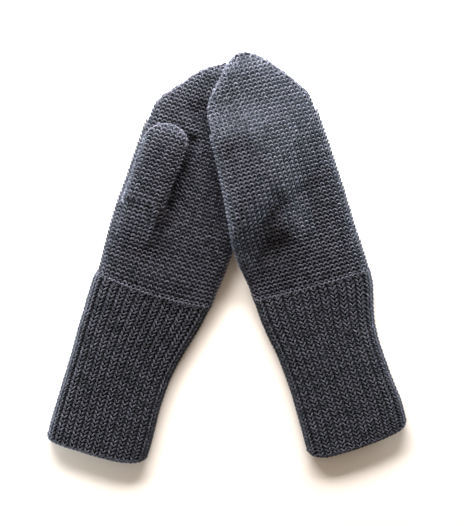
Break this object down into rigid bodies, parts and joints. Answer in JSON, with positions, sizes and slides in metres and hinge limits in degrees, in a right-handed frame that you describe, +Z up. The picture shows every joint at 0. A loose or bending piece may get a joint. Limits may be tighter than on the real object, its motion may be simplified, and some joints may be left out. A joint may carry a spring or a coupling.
{
  "type": "pair of mittens",
  "caption": "A child's pair of charcoal grey heather knitted mittens with long 1x1 rib cuffs, laid flat with the right-hand one across the left-hand one.",
  "frame": {"origin": "middle of the pair's bounding box, on the surface that it lies on", "axes": "+Y from the cuffs towards the finger tips, along the pair's length; +Z up from the surface; +X to the right seen from above"},
  "size_m": [0.2223, 0.2545, 0.0254],
  "materials": {
    "rib_knit": "matte",
    "plain_knit": "matte"
  },
  "bodies": {
    "root": {"left_cuff": "rib_knit", "left_hand": "plain_knit", "left_thumb": "plain_knit", "right_cuff": "rib_knit", "right_hand": "plain_knit", "right_thumb": "plain_knit"}
  },
  "joints": []
}
